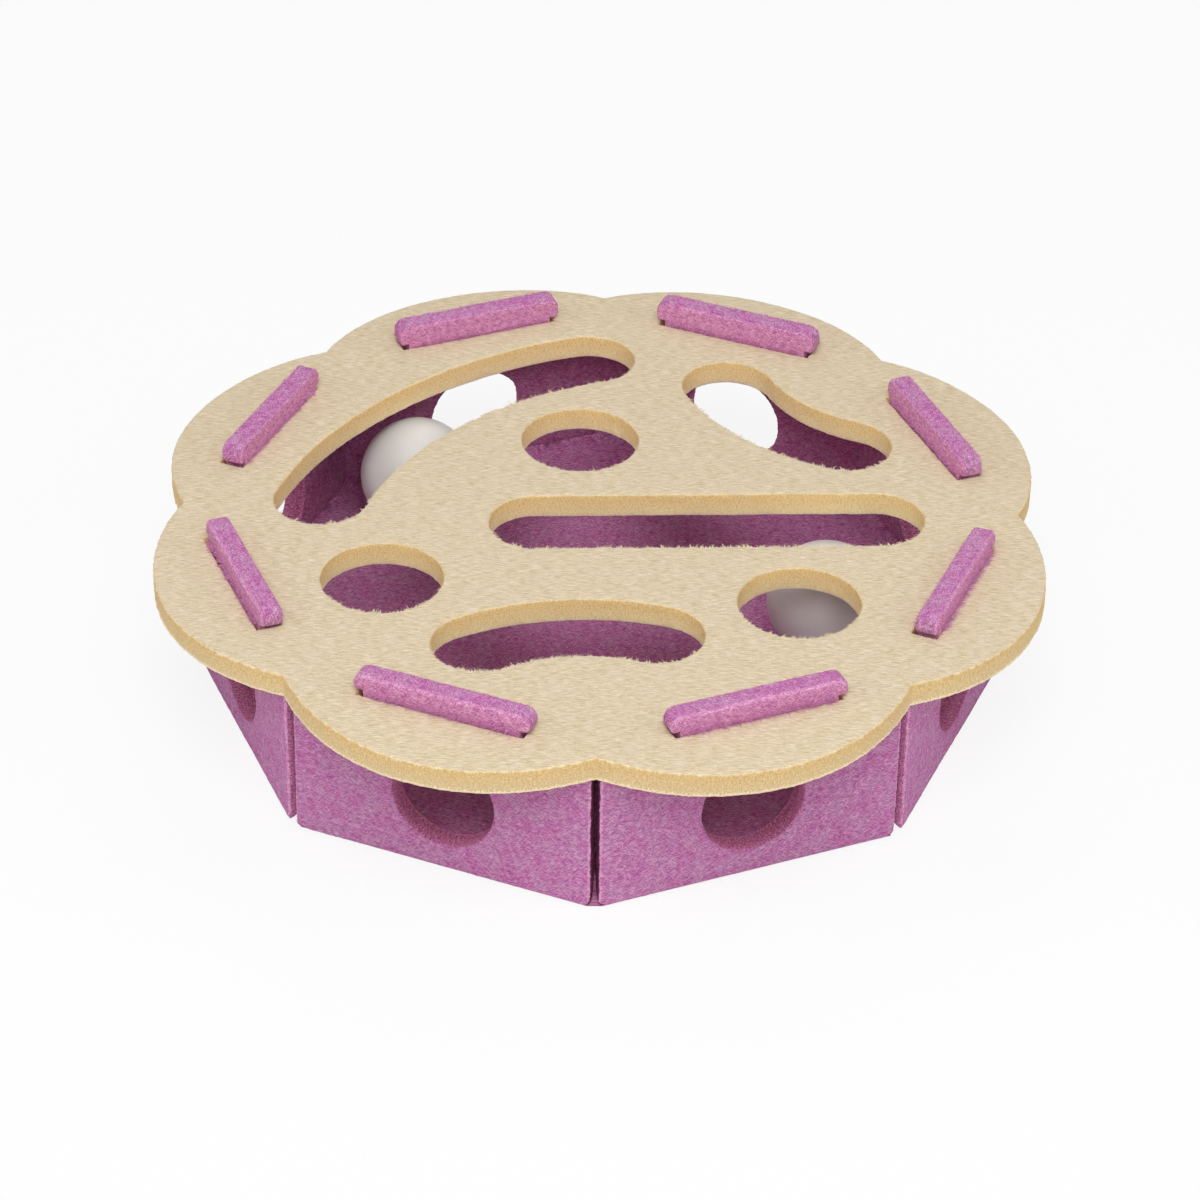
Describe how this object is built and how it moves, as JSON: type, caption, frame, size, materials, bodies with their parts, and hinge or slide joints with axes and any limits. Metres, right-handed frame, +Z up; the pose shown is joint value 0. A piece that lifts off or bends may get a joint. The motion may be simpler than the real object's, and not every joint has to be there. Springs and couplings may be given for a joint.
{
  "type": "cat ball activity box",
  "caption": "Low octagonal felt box with a scalloped lid held on by wall tabs; paw holes and slots in lid and walls let a cat chase loose balls inside.",
  "frame": {"origin": "on the floor under the middle of the octagonal body", "axes": "+Z up through the lid; -Y to the front corner, where two walls meet; +X to the right"},
  "size_m": [0.29, 0.29, 0.0673],
  "materials": {
    "body_felt": "heathered pink-purple needle felt, matt",
    "lid_felt": "cream needle felt, matt, with square die-cut edges",
    "ball_shell": "smooth white, satin"
  },
  "bodies": {
    "base": {"base": "body_felt"},
    "wall_front_right": {"wall_front_right": "body_felt"},
    "wall_right_front": {"wall_right_front": "body_felt"},
    "wall_right_back": {"wall_right_back": "body_felt"},
    "wall_back_right": {"wall_back_right": "body_felt"},
    "wall_back_left": {"wall_back_left": "body_felt"},
    "wall_left_back": {"wall_left_back": "body_felt"},
    "wall_left_front": {"wall_left_front": "body_felt"},
    "wall_front_left": {"wall_front_left": "body_felt"},
    "lid": {"lid": "lid_felt"},
    "ball_left": {"ball_left_upper_cup": "ball_shell", "ball_left_lower_cup": "ball_shell"},
    "ball_right": {"ball_right_upper_cup": "ball_shell", "ball_right_lower_cup": "ball_shell"}
  },
  "joints": [
    {"name": "lid_lift", "type": "slide", "parent": "base", "child": "lid", "axis": [0, 0, 1], "range_m": [0, 0.19]},
    {"name": "front_right_crease", "type": "hinge", "parent": "base", "child": "wall_front_right", "pos_m": [0.0486, -0.11733, 0], "axis": [0.9239, 0.3827, 0], "range_deg": [0, 10]},
    {"name": "right_front_crease", "type": "hinge", "parent": "base", "child": "wall_right_front", "pos_m": [0.11733, -0.0486, 0], "axis": [0.3827, 0.9239, 0], "range_deg": [0, 10]},
    {"name": "right_back_crease", "type": "hinge", "parent": "base", "child": "wall_right_back", "pos_m": [0.11733, 0.0486, 0], "axis": [-0.3827, 0.9239, 0], "range_deg": [0, 10]},
    {"name": "back_right_crease", "type": "hinge", "parent": "base", "child": "wall_back_right", "pos_m": [0.0486, 0.11733, 0], "axis": [-0.9239, 0.3827, 0], "range_deg": [0, 10]},
    {"name": "back_left_crease", "type": "hinge", "parent": "base", "child": "wall_back_left", "pos_m": [-0.0486, 0.11733, 0], "axis": [-0.9239, -0.3827, 0], "range_deg": [0, 10]},
    {"name": "left_back_crease", "type": "hinge", "parent": "base", "child": "wall_left_back", "pos_m": [-0.11733, 0.0486, 0], "axis": [-0.3827, -0.9239, 0], "range_deg": [0, 10]},
    {"name": "left_front_crease", "type": "hinge", "parent": "base", "child": "wall_left_front", "pos_m": [-0.11733, -0.0486, 0], "axis": [0.3827, -0.9239, 0], "range_deg": [0, 10]},
    {"name": "front_left_crease", "type": "hinge", "parent": "base", "child": "wall_front_left", "pos_m": [-0.0486, -0.11733, 0], "axis": [0.9239, -0.3827, 0], "range_deg": [0, 10]},
    {"name": "ball_left_roll", "type": "slide", "parent": "base", "child": "ball_left", "axis": [1, 0, 0], "range_m": [-0.0138, 0.1429]},
    {"name": "ball_right_roll", "type": "slide", "parent": "base", "child": "ball_right", "axis": [1, 0, 0], "range_m": [-0.1813, 0.0295]}
  ],
  "couplings": [
    {"joint": "front_right_crease", "follows": "lid_lift", "rad_per_m": 0.9185},
    {"joint": "right_front_crease", "follows": "lid_lift", "rad_per_m": 0.9185},
    {"joint": "right_back_crease", "follows": "lid_lift", "rad_per_m": 0.9185},
    {"joint": "back_right_crease", "follows": "lid_lift", "rad_per_m": 0.9185},
    {"joint": "back_left_crease", "follows": "lid_lift", "rad_per_m": 0.9185},
    {"joint": "left_back_crease", "follows": "lid_lift", "rad_per_m": 0.9185},
    {"joint": "left_front_crease", "follows": "lid_lift", "rad_per_m": 0.9185},
    {"joint": "front_left_crease", "follows": "lid_lift", "rad_per_m": 0.9185}
  ]
}
